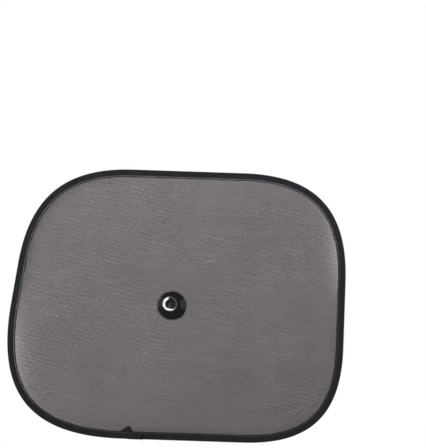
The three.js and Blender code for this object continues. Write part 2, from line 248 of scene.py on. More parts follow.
# Studio. Angles are off the line out of the cup, to the right and up.
RING_DISTANCE = 1.6
RING_AIM = (math.radians(4.9), math.radians(-7.7))
RING_INNER = math.radians(13.6)
RING_OUTER = math.radians(19.2)
RING_ARC = (math.radians(-74), math.radians(130))
RING_STRENGTH = 12.5
RING_STEPS = 48
RIM_WIDTH = math.radians(1.5)
RIM_STRENGTH = 2.6
RIM_ARC = (RING_ARC[1], RING_ARC[0] + 2 * math.pi)
FRONT_FILL = 0.10
BACK_LEVEL = 0.8
BACK_FADE = (-0.15, 0.25)
FLOOR_LEVEL = -0.35
FLOOR_FRONT = -0.42
FLOOR_BACK = 1.4
FLOOR_HALF = 4
FLOOR_FADE_CENTRE = 0.25
FLOOR_FADE = (0.25, 0.6)
FLOOR_FADE_START = 0.72
# Soft lamps: degrees to the right and up, distance, width and height, and watts.
SOFTBOXES = {
    "strip_left": (-34, -8, 1.6, (0.6, 0.8), 0.3),
    "strip_right": (35, -12, 1.6, (0.6, 0.8), 0.3),
    "side_left": (-62, 25, 1.8, (0.9, 0.9), 15),
    "side_right": (62, 25, 1.8, (0.9, 0.9), 15),
}

# Colours, most as the dark and light ends of a blend.
GROUND_BLACKS = ((0.008, 0.0075, 0.008), (0.013, 0.012, 0.0125))
YARN_BLACKS = ((0.012, 0.0112, 0.0118), (0.026, 0.024, 0.025))
TAPE_BLACKS = ((0.0088, 0.0089, 0.0114), (0.0158, 0.0161, 0.0202))
LINT_GREY = (0.05, 0.05, 0.052)
SEWING_GREYS = ((0.02, 0.02, 0.021), (0.55, 0.55, 0.56))
CUP_BLACKS = ((0.0035, 0.0035, 0.0038), (0.006, 0.006, 0.0066))
PAPER_GREYS = ((0.86, 0.86, 0.86), (0.9, 0.9, 0.9))
VEIL_TINT = (1.0, 0.952, 0.968, 1)
WHITE = (1, 1, 1, 1)
# Painted light: the tape is lighter towards the top. Heights, and the tones there.
PAINTED_TAPE_LIGHT_HEIGHTS = (-0.17, 0.1)
PAINTED_TAPE_LIGHT_TONES = (0.78, 1.35)
# The sewing thread is darker low down: the way up that counts, heights, and the least tone.
SEWING_WAY = (-0.5, 0, 1)
SEWING_HEIGHTS = (-0.06, 0.02)
SEWING_LEAST = 0.12
# The relief of each material's fine grain.
GROUND_RELIEF = 0.00004
YARN_RELIEF = 0.00002
TAPE_RELIEF = 0.00006
SEWING_RELIEF = 0.00003
CUP_RELIEF = 0.00005
PLAIN_RELIEF = 0.00002
NOISE_RANGE = (0.3, 0.7)


def node(tree, kind, inputs=None, **settings):
    """A shader node, with its settings, and its inputs as values or as links."""
    made = tree.nodes.new(kind)
    for key, value in settings.items():
        setattr(made, key, value)
    for key, value in (inputs or {}).items():
        if isinstance(value, bpy.types.NodeSocket):
            tree.links.new(value, made.inputs[key])
        else:
            made.inputs[key].default_value = value
    return made


def calc(tree, operation, *values):
    return node(tree, "ShaderNodeMath", dict(enumerate(values)), operation=operation).outputs[0]


def product(tree, first, *others):
    for other in others:
        first = calc(tree, "MULTIPLY", first, other)
    return first


def blank_material(name):
    material = bpy.data.materials.new(name)
    material.use_nodes = True
    tree = material.node_tree
    tree.nodes.clear()
    return material, tree, tree.nodes.new("ShaderNodeOutputMaterial")


def mesh_object(name, vertices, faces, material, sharp=SHARP):
    """A mesh object whose faces are turned outwards, smooth apart from its sharp edges."""
    mesh = bpy.data.meshes.new(name)
    mesh.from_pydata([tuple(v) for v in vertices], [], faces)
    build = bmesh.new()
    build.from_mesh(mesh)
    bmesh.ops.recalc_face_normals(build, faces=build.faces)
    build.to_mesh(mesh)
    build.free()
    mesh.shade_smooth()
    mesh.set_sharp_from_angle(angle=sharp)
    mesh.materials.append(material)
    made = bpy.data.objects.new(name, mesh)
    bpy.context.scene.collection.objects.link(made)
    return made


def outline():
    """Dense points round the binding's outer edge, from the top of the right edge anticlockwise."""
    edges = [
        (np.array([RIGHT_EDGE, 0.0]), np.array([0.0, 1.0])),
        (np.array([0.0, TOP_EDGE]), np.array([-1.0, 0.0])),
        (np.array([-LEFT_EDGE, 0.0]), np.array([-math.sin(LEFT_LEAN), -math.cos(LEFT_LEAN)])),
        (np.array([0.0, -BOTTOM_EDGE]), np.array([1.0, 0.0])),
    ]
    points = []
    bottom_start = 0
    for i, (at, along) in enumerate(edges):
        next_at, next_along = edges[(i + 1) % 4]
        s = np.linalg.solve(np.column_stack([along, -next_along]), next_at - at)[0]
        corner = at + along * s
        start = corner - along * CORNER_REACHES[i]
        end = corner + next_along * CORNER_REACHES[i]
        handles = [start, start + (corner - start) * CORNER_FULLNESS,
                   end + (corner - end) * CORNER_FULLNESS, end]
        if points:
            straight = np.linspace(0, 1, STRAIGHT_STEPS, endpoint=False)[1:]
            last = points[-1]
            points += [last + (start - last) * t for t in straight]
        for t in np.linspace(0, 1, CURVE_STEPS):
            w = [(1 - t) ** 3, 3 * t * (1 - t) ** 2, 3 * t * t * (1 - t), t ** 3]
            points.append(sum(k * h for k, h in zip(w, handles)))
        if i == 2:
            bottom_start = len(points) - 1
    first = points[0]
    last = points[-1]
    points += [last + (first - last) * t for t in np.linspace(0, 1, STRAIGHT_STEPS, endpoint=False)[1:]]
    return np.array(points), bottom_start


ROUND, BOTTOM_START_INDEX = outline()
RUNS = np.concatenate([[0], np.cumsum(np.linalg.norm(np.roll(ROUND, -1, 0) - ROUND, axis=1))])
ROUND_LENGTH = RUNS[-1]
BOTTOM_START = RUNS[BOTTOM_START_INDEX]
TAPE_START = BOTTOM_START + LAP_END - LAP_LENGTH
TAPE_END = BOTTOM_START + LAP_END + ROUND_LENGTH


def station(run):
    """Points on the outer edge and outward normals at distances along it."""
    run = np.mod(np.asarray(run, float), ROUND_LENGTH)
    closed = np.vstack([ROUND, ROUND[:1]])
    at = np.column_stack([np.interp(run, RUNS, closed[:, k]) for k in (0, 1)])
    turn = np.roll(ROUND, -1, 0) - np.roll(ROUND, 1, 0)
    turn /= np.linalg.norm(turn, axis=1)[:, None]
    turn = np.vstack([turn, turn[:1]])
    tangent = np.column_stack([np.interp(run, RUNS, turn[:, k]) for k in (0, 1)])
    tangent /= np.linalg.norm(tangent, axis=1)[:, None]
    return at, np.column_stack([tangent[:, 1], -tangent[:, 0]])


def place(at, out, inward, back):
    """The point so far in from the outer edge and so far behind the net's middle."""
    return (at[0] - out[0] * inward, NET_MIDDLE + back, at[1] - out[1] * inward)


def sweep_faces(stations, points):
    """Faces along a swept section of so many points, with both ends closed."""
    faces = []
    for i in range(stations - 1):
        a, b = i * points, (i + 1) * points
        faces += [(a + k, b + k, b + (k + 1) % points, a + (k + 1) % points) for k in range(points)]
    return faces + [tuple(range(points)), tuple(range((stations - 1) * points, stations * points))]


def add_mesh(vertices, faces, more):
    """Adds another part's vertices and faces to the lists."""
    faces += [tuple(len(vertices) + k for k in corners) for corners in more[1]]
    vertices += more[0]


# Materials

def object_place(tree):
    return node(tree, "ShaderNodeTexCoord").outputs["Object"]


def ramp(tree, value, start, end, low=0.0, high=1.0):
    """From low to high as a value goes from start to end, and level beyond."""
    return node(tree, "ShaderNodeMapRange", {
        "Value": value, "From Min": start, "From Max": end, "To Min": low, "To Max": high}).outputs[0]


def noise(tree, vector, scale, detail=3.0, low=0.0, high=1.0):
    """Soft noise, spread from low to high."""
    made = node(tree, "ShaderNodeTexNoise", {"Vector": vector, "Scale": scale, "Detail": detail})
    return ramp(tree, made.outputs["Fac"], *NOISE_RANGE, low, high)


def bands(tree, vector, scale, distortion, way, detail=2.0):
    return node(tree, "ShaderNodeTexWave", {
        "Vector": vector, "Scale": scale, "Distortion": distortion, "Detail": detail},
        wave_type="BANDS", bands_direction=way).outputs["Fac"]


def coordinate(tree, vector, axis):
    return node(tree, "ShaderNodeSeparateXYZ", {0: vector}).outputs[axis]


def scaled(tree, vector, factors):
    return node(tree, "ShaderNodeVectorMath", {0: vector, 1: factors}, operation="MULTIPLY").outputs[0]


def dot(tree, vector, way):
    return node(tree, "ShaderNodeVectorMath", {0: vector, 1: way}, operation="DOT_PRODUCT").outputs["Value"]


def magnitude(tree, vector):
    return node(tree, "ShaderNodeVectorMath", {0: vector}, operation="LENGTH").outputs["Value"]


def colours(tree, factor, low, high):
    """A blend of two colours, each given as values or as a link."""
    low, high = ((*end, 1) if isinstance(end, tuple) else end for end in (low, high))
    return node(tree, "ShaderNodeMix", {0: factor, 6: low, 7: high}, data_type="RGBA").outputs[2]


def bump(tree, height, distance):
    return node(tree, "ShaderNodeBump", {"Height": height, "Distance": distance}).outputs[0]


def glow(tree, strength):
    return node(tree, "ShaderNodeEmission", {"Color": WHITE, "Strength": strength})


def mixed(tree, share, first, second):
    return node(tree, "ShaderNodeMixShader", {0: share, 1: first.outputs[0], 2: second.outputs[0]})


def in_view(tree):
    """One where the camera sees a thing, and nought where only light meets it."""
    path = node(tree, "ShaderNodeLightPath")
    return calc(tree, "MAXIMUM", path.outputs["Is Camera Ray"], path.outputs["Is Transmission Ray"])


def finish_material(tree, output, shader):
    tree.links.new(shader.outputs[0], output.inputs["Surface"])


def ground_material():
    """The net's ground: so fine that it shows as a dark veil, more open in some places than in others, at
    random and with painted light and shade.
    """
    material, tree, output = blank_material("net_ground")
    at = object_place(tree)
    # The tone attribute holds the ground's openness together with its painted light and shade.
    tone = node(tree, "ShaderNodeAttribute", attribute_name="tone").outputs["Fac"]
    cloud = noise(tree, at, 14.0, low=0.95, high=1.05)
    streaks = noise(tree, scaled(tree, at, (1.0, 1.0, 9.0)), 24.0, 2.0, 0.97, 1.03)
    share = product(tree, tone, cloud, streaks)
    sway = noise(tree, at, 8.0, 2.0, -ROW_SWAY, ROW_SWAY)
    low_gain = ramp(tree, coordinate(tree, at, "Z"), *LOW_ROW_HEIGHTS, LOW_ROW_GAIN, 1.0)
    for period, lean, swing in FAINT_ROWS:
        lean = math.radians(lean)
        step = 2 * math.pi / period
        phase = dot(tree, at, (math.sin(lean) * step, 0, math.cos(lean) * step))
        row = calc(tree, "SINE", calc(tree, "ADD", phase, sway))
        depth = product(tree, low_gain, noise(tree, at, 40.0 + 1000 * period, 2.0, *ROW_PATCHES))
        share = product(tree, share, calc(tree, "ADD", 1.0, product(tree, row, swing, depth)))
    # Light passes the front face and the back face, so each lets the root of the share through.
    closed = calc(tree, "SUBTRACT", 1.0, calc(tree, "SQRT", share))
    thread = node(tree, "ShaderNodeBsdfPrincipled", {
        "Base Color": colours(tree, cloud, *GROUND_BLACKS),
        "Roughness": noise(tree, at, 300.0, 2.0, 0.62, 0.8),
        "Specular IOR Level": 0.12,
        "Normal": bump(tree, noise(tree, at, 2600.0, 1.0), GROUND_RELIEF)})
    clear = node(tree, "ShaderNodeBsdfTransparent", {"Color": VEIL_TINT})
    finish_material(tree, output, mixed(tree, closed, clear, thread))
    return material


def net_thread_material():
    """Black polyester yarn, as a stand-in that lets most of the light through."""
    material, tree, output = blank_material("net_thread")
    at = object_place(tree)
    shader = node(tree, "ShaderNodeBsdfPrincipled", {
        "Base Color": colours(tree, noise(tree, at, 90.0), *YARN_BLACKS),
        "Roughness": noise(tree, at, 500.0, 2.0, 0.45, 0.65),
        "Specular IOR Level": 0.3,
        "Normal": bump(tree, noise(tree, at, 3000.0, 1.0), YARN_RELIEF)})
    clear = node(tree, "ShaderNodeBsdfTransparent", {"Color": WHITE})
    finish_material(tree, output, mixed(tree, 1 - math.sqrt(YARN_OPEN), clear, shader))
    return material


def tape_material():
    """Grosgrain tape: fine ribs across it, with a little lint, dark at its end, and painted light that makes
    it lighter towards the top.
    """
    material, tree, output = blank_material("binding_weave")
    at = object_place(tree)
    lengthways = node(tree, "ShaderNodeUVMap", uv_map="tape").outputs[0]
    ribs = bands(tree, lengthways, 560.0, 0.6, "X", 1.0)
    weft = bands(tree, lengthways, 700.0, 0.4, "Y", 1.0)
    weave = calc(tree, "ADD", product(tree, ribs, 0.65), product(tree, weft, 0.35))
    patches = noise(tree, at, 120.0, 4.0)
    lint = ramp(tree, noise(tree, at, 900.0, 2.0), 0.86, 1.0)
    shade = calc(tree, "ADD", product(tree, patches, 0.6), product(tree, weave, 0.4))
    # The tape is made dark, and given no gloss, over the last stretch before its end.
    dark_end = ramp(tree, coordinate(tree, lengthways, "X"), TAPE_END - DARK_END_START, TAPE_END - DARK_END_FULL)
    away_from_dark_end = calc(tree, "SUBTRACT", 1.0, dark_end)
    # Painted light: the colour is scaled up towards the top of the tape.
    lift = ramp(tree, coordinate(tree, at, "Z"), *PAINTED_TAPE_LIGHT_HEIGHTS, *PAINTED_TAPE_LIGHT_TONES)
    dark = colours(tree, shade, *TAPE_BLACKS)
    linty = colours(tree, product(tree, lint, 0.35), dark, LINT_GREY)
    shader = node(tree, "ShaderNodeBsdfPrincipled", {
        "Base Color": scaled(tree, linty, product(tree, away_from_dark_end, lift)),
        "Roughness": noise(tree, at, 200.0, 2.0, 0.55, 0.72),
        "Specular IOR Level": product(tree, away_from_dark_end, 0.12),
        "Normal": bump(tree, weave, TAPE_RELIEF)})
    finish_material(tree, output, shader)
    return material


def sewing_material():
    """Grey polyester sewing thread, with a fine twist."""
    material, tree, output = blank_material("sewing_thread")
    at = object_place(tree)
    # The thread is made darker towards the bottom of the shade.
    low_darkening = ramp(tree, dot(tree, at, SEWING_WAY), *SEWING_HEIGHTS, SEWING_LEAST, 1.0)
    twist = bands(tree, at, 900.0, 1.5, "DIAGONAL")
    tone = product(tree, low_darkening, noise(tree, at, 260.0, low=0.5))
    shader = node(tree, "ShaderNodeBsdfPrincipled", {
        "Base Color": colours(tree, tone, *SEWING_GREYS),
        "Roughness": noise(tree, at, 700.0, 2.0, 0.45, 0.65),
        "Normal": bump(tree, twist, SEWING_RELIEF)})
    finish_material(tree, output, shader)
    return material


def cup_material():
    """Glossy soft black PVC, with faint flow ripples and handling marks."""
    material, tree, output = blank_material("cup_gloss")
    at = object_place(tree)
    # The deep crown is given less gloss than the bowl.
    off_axis = magnitude(tree, scaled(tree, at, (1, 0, 1)))
    gloss = ramp(tree, off_axis, CROWN_GLOSS_START, CROWN_RADIUS + CROWN_ROUND, CROWN_GLOSS, 1.0)
    shader = node(tree, "ShaderNodeBsdfPrincipled", {
        "Base Color": colours(tree, noise(tree, at, 350.0), *CUP_BLACKS),
        "Roughness": noise(tree, at, 700.0, 3.0, 0.05, 0.11),
        "IOR": 1.53,
        "Specular IOR Level": product(tree, gloss, 0.5),
        "Coat Weight": gloss,
        "Coat Roughness": 0.03,
        "Normal": bump(tree, noise(tree, at, 210.0, 1.0), CUP_RELIEF)})
    finish_material(tree, output, shader)
    return material


def plain_material(name, dark, light, roughness, scale, **sockets):
    """A material with a fine grain in colour, gloss and relief."""
    material, tree, output = blank_material(name)
    at = object_place(tree)
    grain = noise(tree, at, scale, 4.0)
    shader = node(tree, "ShaderNodeBsdfPrincipled", {
        "Base Color": colours(tree, grain, dark, light),
        "Roughness": noise(tree, at, scale * 3, 2.0, roughness * 0.8, roughness * 1.2),
        "Normal": bump(tree, grain, PLAIN_RELIEF),
        **sockets})
    finish_material(tree, output, shader)
    return material


GROUND = ground_material()
NET_THREAD = net_thread_material()
TAPE = tape_material()
SEWING = sewing_material()
CUP = cup_material()
LAP_THREAD = plain_material("lap_thread", (0.004, 0.004, 0.005), (0.009, 0.009, 0.011), 0.6, 900.0)
EYELET = plain_material("eyelet_satin", (0.008, 0.008, 0.009), (0.013, 0.013, 0.014), 0.42, 500.0)
WIRE = plain_material("spring_steel", (0.22, 0.23, 0.24), (0.3, 0.31, 0.32), 0.32, 400.0, Metallic=1.0)
FERRULE = plain_material("ferrule_satin", (0.36, 0.36, 0.36), (0.46, 0.46, 0.46), 0.38, 600.0, Metallic=1.0)


# Net

def bearing_reach(inset):
    """The distance from the cup's axis to the outline, drawn in by inset, as a function of bearing."""
    at, out = station(RUNS[:-1])
    edge = at - out * inset
    bearing = np.mod(np.arctan2(edge[:, 1], edge[:, 0]), 2 * math.pi)
    order = np.argsort(bearing)
    distance = np.linalg.norm(edge, axis=1)
    return lambda a: np.interp(np.mod(a, 2 * math.pi), bearing[order], distance[order], period=2 * math.pi)


NET_EDGE = bearing_reach(NET_INSET)
SEEN_EDGE = bearing_reach(TAPE_WIDTH)


def slack(x, z):
    """How far the stretched net bellies out of its plane, less towards its edge and the cup."""
    radius = np.hypot(x, z)
    share = np.clip(1 - radius / SEEN_EDGE(np.arctan2(z, x)), 0, 1)
    share *= np.clip(radius / SLACK_GROWTH - SLACK_START, 0, 1)
    first, second, third = (a * x + b * z + c for a, b, c in SLACK_WAVES)
    wave = np.sin(first) * np.cos(second) + SLACK_RIPPLE * np.sin(third)
    return NET_SLACK * np.clip(SLACK_GAIN * share, 0, 1) * wave


def open_share_with_painted_light(x, z):
    """The share of light that the ground lets through, over the net and near its edge, with painted light and
    shade in it.
    """
    bearing = np.arctan2(z, x)
    inward = SEEN_EDGE(bearing) - np.hypot(x, z)
    share = GROUND_OPEN + PAINTED_LIGHT_RISE * z + PAINTED_LIGHT_DRIFT * x
    # Painted light in strips in from some edges, painted shade in from others.
    for at, spread, depth, gain in PAINTED_EDGE_LIGHT_AND_SHADE:
        off = np.mod(bearing - math.radians(at) + math.pi, 2 * math.pi) - math.pi
        near = np.exp(-(off / math.radians(spread)) ** 2)
        share = share * (1 + gain * near * np.exp(-np.clip(inward, 0, None) / depth))
    return np.clip(share, *OPEN_LIMITS)


def net_ground():
    """The net's ground, in rings about the cup, and its area."""
    angles = np.linspace(0, 2 * math.pi, NET_STATIONS, endpoint=False)
    reach = NET_EDGE(angles)
    inner = np.linspace(0, 1, NET_RINGS - EDGE_RINGS, endpoint=False)[:, None]
    outer = np.linspace(0, 1, EDGE_RINGS)[:, None]
    radii = np.vstack([
        HOLE_RADIUS + (reach - EDGE_BAND - HOLE_RADIUS) * inner,
        reach - EDGE_BAND * (1 - outer)])
    x, z = radii * np.cos(angles), radii * np.sin(angles)
    middle = NET_MIDDLE + slack(x, z)
    vertices = []
    for off in (-GROUND_THICKNESS / 2, GROUND_THICKNESS / 2):
        vertices += list(zip(x.ravel(), (middle + off).ravel(), z.ravel()))
    n = NET_STATIONS
    back = n * NET_RINGS
    faces = []
    for base in (0, back):
        for k in range(NET_RINGS - 1):
            a, b = base + k * n, base + (k + 1) * n
            faces += [(a + i, a + (i + 1) % n, b + (i + 1) % n, b + i) for i in range(n)]
    for ring in (0, (NET_RINGS - 1) * n):
        faces += [(ring + i, ring + (i + 1) % n, back + ring + (i + 1) % n, back + ring + i) for i in range(n)]
    panel = mesh_object("net_panel", vertices, faces, GROUND)
    tone = panel.data.attributes.new("tone", "FLOAT", "POINT")
    tone.data.foreach_set("value", np.tile(open_share_with_painted_light(x, z).ravel(), 2).astype(np.float32))
    area = 0.5 * float(np.sum(reach * np.roll(reach, -1))) * math.sin(2 * math.pi / n)
    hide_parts("mesh_panel")
    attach(panel, "root")
    return panel, area


def net_threads(name, along, across, side):
    """One set of parallel threads, clipped to the net's edge and its hole, bent with the stretch."""
    count = round(THREAD_SPAN / THREAD_PITCH)
    samples = np.linspace(-THREAD_SPAN, THREAD_SPAN, THREAD_SAMPLES)
    vertices, faces = [], []
    for k in range(-count, count):
        offset = (k + 0.5) * THREAD_PITCH
        path = np.outer(samples, along) + offset * across
        phases = path * STRETCH_WAVES + STRETCH_PHASES
        stretch = STRETCH * np.sin(phases[:, 0]) * np.cos(phases[:, 1])
        path = path + stretch[:, None] * across
        radius = np.linalg.norm(path, axis=1)
        bearing = np.arctan2(path[:, 1], path[:, 0])
        inside = (radius < NET_EDGE(bearing)) & (radius > HOLE_RADIUS)
        starts = np.where(inside[1:] & ~inside[:-1])[0] + 1
        ends = np.where(inside[:-1] & ~inside[1:])[0]
        for first, last in zip(starts, ends):
            if last - first < THREAD_LEAST:
                continue
            picks = np.linspace(first, last, THREAD_SEGMENTS + 1)
            points = np.column_stack([np.interp(picks, range(len(samples)), path[:, c]) for c in (0, 1)])
            lift = NET_MIDDLE + slack(points[:, 0], points[:, 1])
            thread = []
            for p, y in zip(points, lift):
                for u, w in THREAD_SECTION:
                    q = p + across * (u * THREAD_WIDTH)
                    thread.append((q[0], y + side * (GROUND_THICKNESS / 2 + w), q[1]))
            add_mesh(vertices, faces, (thread, sweep_faces(len(points), len(THREAD_SECTION))))
    made = mesh_object(name, vertices, faces, NET_THREAD)
    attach(made, "root")
    return made


def net():
    """The net: its ground, and its weft and warp."""
    panel, area = net_ground()
    turn = Matrix.Rotation(WEAVE_TURN, 2)
    weft_way = np.array(turn @ Vector((1, 0)))
    warp_way = np.array(turn @ Vector((0, 1)))
    weft = net_threads("net_weft", weft_way, warp_way, -1)
    warp = net_threads("net_warp", warp_way, weft_way, 1)


# Binding

def groove(inward):
    """How deep the seam pulls the tape in, from 0 to 1, at a distance in from the outer edge."""
    return max(0.0, 1 - ((inward - STITCH_INSET) / GROOVE_HALF) ** 2)


def tape_section(lift, pucker, waver):
    """The folded tape's closed section, as distances in from the outer edge and behind the net."""
    face = NET_THICKNESS / 2 + TAPE_THICKNESS + lift
    radius = BEAD_RADIUS + lift
    closing = BEAD_RADIUS + radius * math.cos(FOLD_LEAVE) + FOLD_TAPER
    width = TAPE_WIDTH + waver
    flat = [width, width - CUT_STEP, STITCH_INSET + GROOVE_HALF, STITCH_INSET, STITCH_INSET - GROOVE_HALF,
            (closing + STITCH_INSET) / 2, closing]
    rise = [pucker * (1 if PUCKER_FROM < u < width - CUT_STEP / 2 else PUCKER_ELSEWHERE)
            - STITCH_SINK * groove(u) for u in flat]
    rise[0] -= CUT_EASE
    front = [(u, -face - h) for u, h in zip(flat, rise)]
    back = [(u, face + h) for u, h in zip(flat, rise)][::-1]
    turn = np.linspace(-FOLD_LEAVE, FOLD_LEAVE - 2 * math.pi, FOLD_STEPS + 1)
    bead = [(BEAD_RADIUS + radius * math.cos(a), radius * math.sin(a)) for a in turn]
    inner_face = NET_THICKNESS / 2 + lift
    inner = FOLD_RADIUS + lift
    mouth = math.asin(inner_face / inner)
    fold = [(BEAD_RADIUS + inner * math.cos(a), inner * math.sin(a))
            for a in np.linspace(mouth, 2 * math.pi - mouth, INNER_STEPS + 1)]
    return front + bead + back + [(width, inner_face)] + fold + [(width, -inner_face)]


def binding_tape():
    """The folded tape, once round the shade, with its end raised over its start."""
    count = round((TAPE_END - TAPE_START) / STITCH_PITCH * STATIONS_PER_STITCH)
    runs = np.linspace(TAPE_START, TAPE_END, count)
    at, out = station(runs)
    draw = random.Random(7)
    waves = [(draw.uniform(*WAVER_LENGTHS), draw.uniform(*WAVER_PHASES)) for _ in range(WAVER_COUNT)]
    vertices, uvs = [], []
    for i, run in enumerate(runs):
        climb = np.clip((run - (TAPE_END - LAP_LENGTH - LAP_RAMP)) / LAP_RAMP, 0, 1)
        lift = (TAPE_THICKNESS + LAP_CLEAR) * climb * climb * (3 - 2 * climb)
        pucker = PUCKER * (0.5 + 0.5 * math.cos(2 * math.pi * run / STITCH_PITCH))
        waver = EDGE_WAVER * sum(math.sin(2 * math.pi * run / w + f) for w, f in waves) / 2
        section = tape_section(lift, pucker, waver)
        vertices += [place(at[i], out[i], u, w) for u, w in section]
        uvs += [(run, u if w < 0 else -u) for u, w in section]
    faces = sweep_faces(count, len(section))
    tape = mesh_object("binding_tape", vertices, faces, TAPE)
    layer = tape.data.uv_layers.new(name="tape")
    for loop in tape.data.loops:
        layer.data[loop.index].uv = uvs[loop.vertex_index]
    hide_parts("edge_binding")
    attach(tape, "root")
    return tape


def tape_corner():
    """The tape's tucked corner, which peeks out from under the flange over the net. It is blank."""
    (at,), (out,) = station([BOTTOM_START + TUCK_AT])
    (to,), _ = station([BOTTOM_START + TUCK_AT + TUCK_BASE])
    along = (to - at) / np.linalg.norm(to - at)
    corners = [(0, -TUCK_ROOT), (TUCK_BASE, -TUCK_ROOT), (TUCK_BASE, 0),
               (TUCK_TOP_SHIFT + TUCK_TOP, TUCK_HEIGHT - TUCK_FALL), (TUCK_TOP_SHIFT, TUCK_HEIGHT), (0, 0)]
    build = bmesh.new()
    rings = []
    for back in (-NET_THICKNESS / 2 - TAPE_THICKNESS + TUCK_UNDER, -NET_THICKNESS / 2 - TUCK_OFF_NET):
        ring = []
        for run, rise in corners:
            p = at + along * run - out * (TAPE_WIDTH + rise)
            ring.append(build.verts.new((p[0], NET_MIDDLE + back, p[1])))
        rings.append(ring)
    n = len(corners)
    build.faces.new(rings[0])
    build.faces.new(rings[1])
    for k in range(n):
        build.faces.new((rings[0][k], rings[0][(k + 1) % n], rings[1][(k + 1) % n], rings[1][k]))
    uprights = [e for e in build.edges if (e.verts[0] in rings[0]) != (e.verts[1] in rings[0])]
    bmesh.ops.bevel(build, geom=uprights, offset=TUCK_ROUND, segments=TUCK_ROUND_STEPS, affect="EDGES",
                    profile=0.5)
    bmesh.ops.recalc_face_normals(build, faces=build.faces)
    mesh = bpy.data.meshes.new("tape_corner")
    build.to_mesh(mesh)
    build.free()
    mesh.materials.append(TAPE)
    layer = mesh.uv_layers.new(name="tape")
    for loop in mesh.loops:
        v = mesh.vertices[loop.vertex_index].co
        layer.data[loop.index].uv = (v.x + v.z, v.z - v.x)
    made = bpy.data.objects.new("tape_corner", mesh)
    bpy.context.scene.collection.objects.link(made)
    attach(made, "root")
    return made


def tube(centres, radius):
    """Vertices and faces of a round tube along points, with closed ends."""
    centres = np.array(centres)
    along = np.gradient(centres, axis=0)
    along /= np.linalg.norm(along, axis=1)[:, None]
    across = np.cross(along, (0.0, 1.0, 0.0))
    across /= np.linalg.norm(across, axis=1)[:, None]
    up = np.cross(across, along)
    vertices = []
    for c, a, u in zip(centres, across, up):
        for k in range(STITCH_SIDES):
            t = 2 * math.pi * k / STITCH_SIDES
            vertices.append(c + radius * (a * math.cos(t) + u * math.sin(t)))
    return vertices, sweep_faces(len(centres), STITCH_SIDES)


def stitches(name, side):
    """The seam's stitches on one face, each an arched length of thread that dives at both ends."""
    face = NET_THICKNESS / 2 + TAPE_THICKNESS - STITCH_SINK
    draw = random.Random(11 + side)
    vertices, faces = [], []
    count = int(ROUND_LENGTH / STITCH_PITCH)
    for i in range(count):
        middle = (i + 0.5) * ROUND_LENGTH / count
        skew = draw.uniform(-STITCH_SKEW, STITCH_SKEW)
        length = STITCH_LENGTH * draw.uniform(*STITCH_LENGTHS)
        at, out = station(middle + np.array([t for t, _ in STITCH_ARCH]) * length)
        on_lap = (middle - TAPE_START) % ROUND_LENGTH < LAP_LENGTH
        height = face + (TAPE_THICKNESS + LAP_CLEAR if on_lap else 0)
        centres = [place(p, q, STITCH_INSET + skew * t * SKEW_GAIN, side * (height + h * STITCH_RISE))
                   for p, q, (t, h) in zip(at, out, STITCH_ARCH)]
        add_mesh(vertices, faces, tube(centres, STITCH_RADIUS))
    made = mesh_object(name, vertices, faces, SEWING)
    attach(made, "root")
    return made


def lap_stitches():
    """The short row of stitches across the lapped end, and the thread's cut tail below it."""
    face = NET_THICKNESS / 2 + 2 * TAPE_THICKNESS + LAP_CLEAR
    (at,), (out,) = station([BOTTOM_START + LAP_END - LAP_ROW_BACK])
    vertices, faces = [], []
    for k in range(LAP_ROW_COUNT):
        start = LAP_ROW_START + k * LAP_ROW_PITCH
        centres = [place(at, out, start + t * LAP_STITCH_LENGTH, -(face + h * STITCH_RADIUS))
                   for t, h in LAP_ARCH]
        centres = [(x + LAP_STITCH_LEAN * i, y, z) for i, (x, y, z) in enumerate(centres)]
        add_mesh(vertices, faces, tube(centres, STITCH_RADIUS))
    tail = []
    for t in np.linspace(0, 1, TAIL_POINTS):
        x, y, z = place(at, out, TAIL_START - TAIL_LENGTH * t, -TAIL_DEPTH)
        tail.append((x + TAIL_SWEEP * t * t, y + TAIL_FALL * t, z))
    add_mesh(vertices, faces, tube(tail, TAIL_RADIUS))
    made = mesh_object("lap_stitches", vertices, faces, LAP_THREAD)
    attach(made, "root")
    return made


# Suction cup and eyelet

def bowl_at(radius):
    """The depth of the bowl, a shallow parabola, at a distance from the axis."""
    edge = LIP_RADIUS - LIP_ROUND - LIP_LAND - FEATHER_WIDTH
    return BOWL_DEPTH - (BOWL_DEPTH - FEATHER_DEPTH) * (radius / edge) ** 2


def rounded(centre, radius, start, end, steps):
    """Points on an arc, as radius from the axis and depth."""
    return [(centre[0] + radius * math.cos(math.radians(a)), centre[1] + radius * math.sin(math.radians(a)))
            for a in np.linspace(start, end, steps + 1)]


